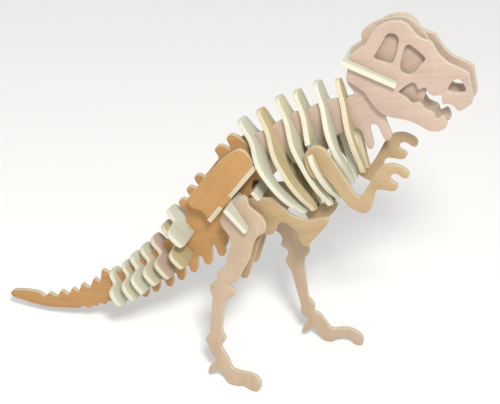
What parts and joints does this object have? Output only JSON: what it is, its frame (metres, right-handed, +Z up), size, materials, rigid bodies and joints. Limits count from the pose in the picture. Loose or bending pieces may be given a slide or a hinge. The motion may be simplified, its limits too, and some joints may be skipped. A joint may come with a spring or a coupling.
{
  "type": "wooden 3d jigsaw model",
  "caption": "Striding tyrannosaur skeleton of flat plywood plates that cross in slots, with a raised head, ribs, a tail of vertebrae and two splayed legs.",
  "frame": {"origin": "On the ground, at the middle of the bounding box's length and breadth", "axes": "+X forwards out of the snout, +Y to the animal's left (far side), +Z up"},
  "size_m": [0.296, 0.0715, 0.2458],
  "materials": {
    "tan_plywood": "matte",
    "pink_plywood": "matte",
    "cream_plywood": "matte",
    "beige_plywood": "matte"
  },
  "bodies": {
    "core": {"backbone": "pink_plywood", "tail_plate": "tan_plywood", "hip_deck": "beige_plywood", "hip_bar": "cream_plywood", "pelvis_spacer": "cream_plywood", "pubis_near": "beige_plywood", "pubis_far": "beige_plywood", "cheek_bar": "cream_plywood", "rib_4": "cream_plywood"},
    "rib_1_body": {"rib_1": "cream_plywood"},
    "rib_2_body": {"rib_2": "cream_plywood"},
    "rib_3_body": {"rib_3": "cream_plywood"},
    "rib_5_body": {"rib_5": "cream_plywood"},
    "rib_6_body": {"rib_6": "cream_plywood"},
    "vertebra_1_body": {"vertebra_1": "cream_plywood"},
    "vertebra_2_body": {"vertebra_2": "cream_plywood"},
    "vertebra_3_body": {"vertebra_3": "cream_plywood"},
    "vertebra_4_body": {"vertebra_4": "cream_plywood"},
    "vertebra_5_body": {"vertebra_5": "cream_plywood"},
    "vertebra_6_body": {"vertebra_6": "cream_plywood"},
    "vertebra_7_body": {"vertebra_7": "cream_plywood"},
    "leg_near_body": {"leg_near": "cream_plywood"},
    "leg_far_body": {"leg_far": "cream_plywood"},
    "ilium_near_body": {"ilium_near": "tan_plywood"},
    "ilium_far_body": {"ilium_far": "tan_plywood"},
    "skull_near_body": {"skull_near": "pink_plywood"},
    "skull_far_body": {"skull_far": "pink_plywood"},
    "arm_near_body": {"arm_near": "beige_plywood"},
    "arm_far_body": {"arm_far": "beige_plywood"}
  },
  "joints": [
    {"name": "rib_1_slide", "type": "slide", "parent": "core", "child": "rib_1_body", "axis": [-0.6157, 0, 0.788], "range_m": [0, 0.034]},
    {"name": "rib_2_slide", "type": "slide", "parent": "core", "child": "rib_2_body", "axis": [-0.5225, 0, 0.8526], "range_m": [0, 0.034]},
    {"name": "rib_3_slide", "type": "slide", "parent": "core", "child": "rib_3_body", "axis": [-0.4772, 0, 0.8788], "range_m": [0, 0.034]},
    {"name": "rib_5_slide", "type": "slide", "parent": "core", "child": "rib_5_body", "axis": [-0.3746, 0, 0.9272], "range_m": [0, 0.034]},
    {"name": "rib_6_slide", "type": "slide", "parent": "core", "child": "rib_6_body", "axis": [-0.3173, 0, 0.9483], "range_m": [0, 0.034]},
    {"name": "vertebra_1_slide", "type": "slide", "parent": "core", "child": "vertebra_1_body", "axis": [-0.5736, 0, 0.8192], "range_m": [0, 0.02]},
    {"name": "vertebra_2_slide", "type": "slide", "parent": "core", "child": "vertebra_2_body", "axis": [-0.6157, 0, 0.788], "range_m": [0, 0.02]},
    {"name": "vertebra_3_slide", "type": "slide", "parent": "core", "child": "vertebra_3_body", "axis": [-0.6428, 0, 0.766], "range_m": [0, 0.02]},
    {"name": "vertebra_4_slide", "type": "slide", "parent": "core", "child": "vertebra_4_body", "axis": [-0.682, 0, 0.7314], "range_m": [0, 0.02]},
    {"name": "vertebra_5_slide", "type": "slide", "parent": "core", "child": "vertebra_5_body", "axis": [-0.7071, 0, 0.7071], "range_m": [0, 0.02]},
    {"name": "vertebra_6_slide", "type": "slide", "parent": "core", "child": "vertebra_6_body", "axis": [-0.7314, 0, 0.682], "range_m": [0, 0.02]},
    {"name": "vertebra_7_slide", "type": "slide", "parent": "core", "child": "vertebra_7_body", "axis": [-0.7547, 0, 0.6561], "range_m": [0, 0.02]},
    {"name": "leg_near_slide", "type": "slide", "parent": "core", "child": "leg_near_body", "axis": [0.6941, -0.1908, -0.6941], "range_m": [0, 0.0105]},
    {"name": "leg_far_slide", "type": "slide", "parent": "core", "child": "leg_far_body", "axis": [0.6993, 0.1478, -0.6993], "range_m": [0, 0.0105]},
    {"name": "ilium_near_slide", "type": "slide", "parent": "core", "child": "ilium_near_body", "axis": [-0.8231, 0, 0.5678], "range_m": [0, 0.005]},
    {"name": "ilium_far_slide", "type": "slide", "parent": "core", "child": "ilium_far_body", "axis": [-0.8231, 0, 0.5678], "range_m": [0, 0.005]},
    {"name": "skull_near_slide", "type": "slide", "parent": "core", "child": "skull_near_body", "axis": [0.9563, 0, -0.2924], "range_m": [0, 0.018]},
    {"name": "skull_far_slide", "type": "slide", "parent": "core", "child": "skull_far_body", "axis": [0.9563, 0, -0.2924], "range_m": [0, 0.018]},
    {"name": "arm_near_slide", "type": "slide", "parent": "core", "child": "arm_near_body", "axis": [0, -1, 0], "range_m": [0, 0.0075]},
    {"name": "arm_far_slide", "type": "slide", "parent": "core", "child": "arm_far_body", "axis": [0, 1, 0], "range_m": [0, 0.0075]}
  ]
}
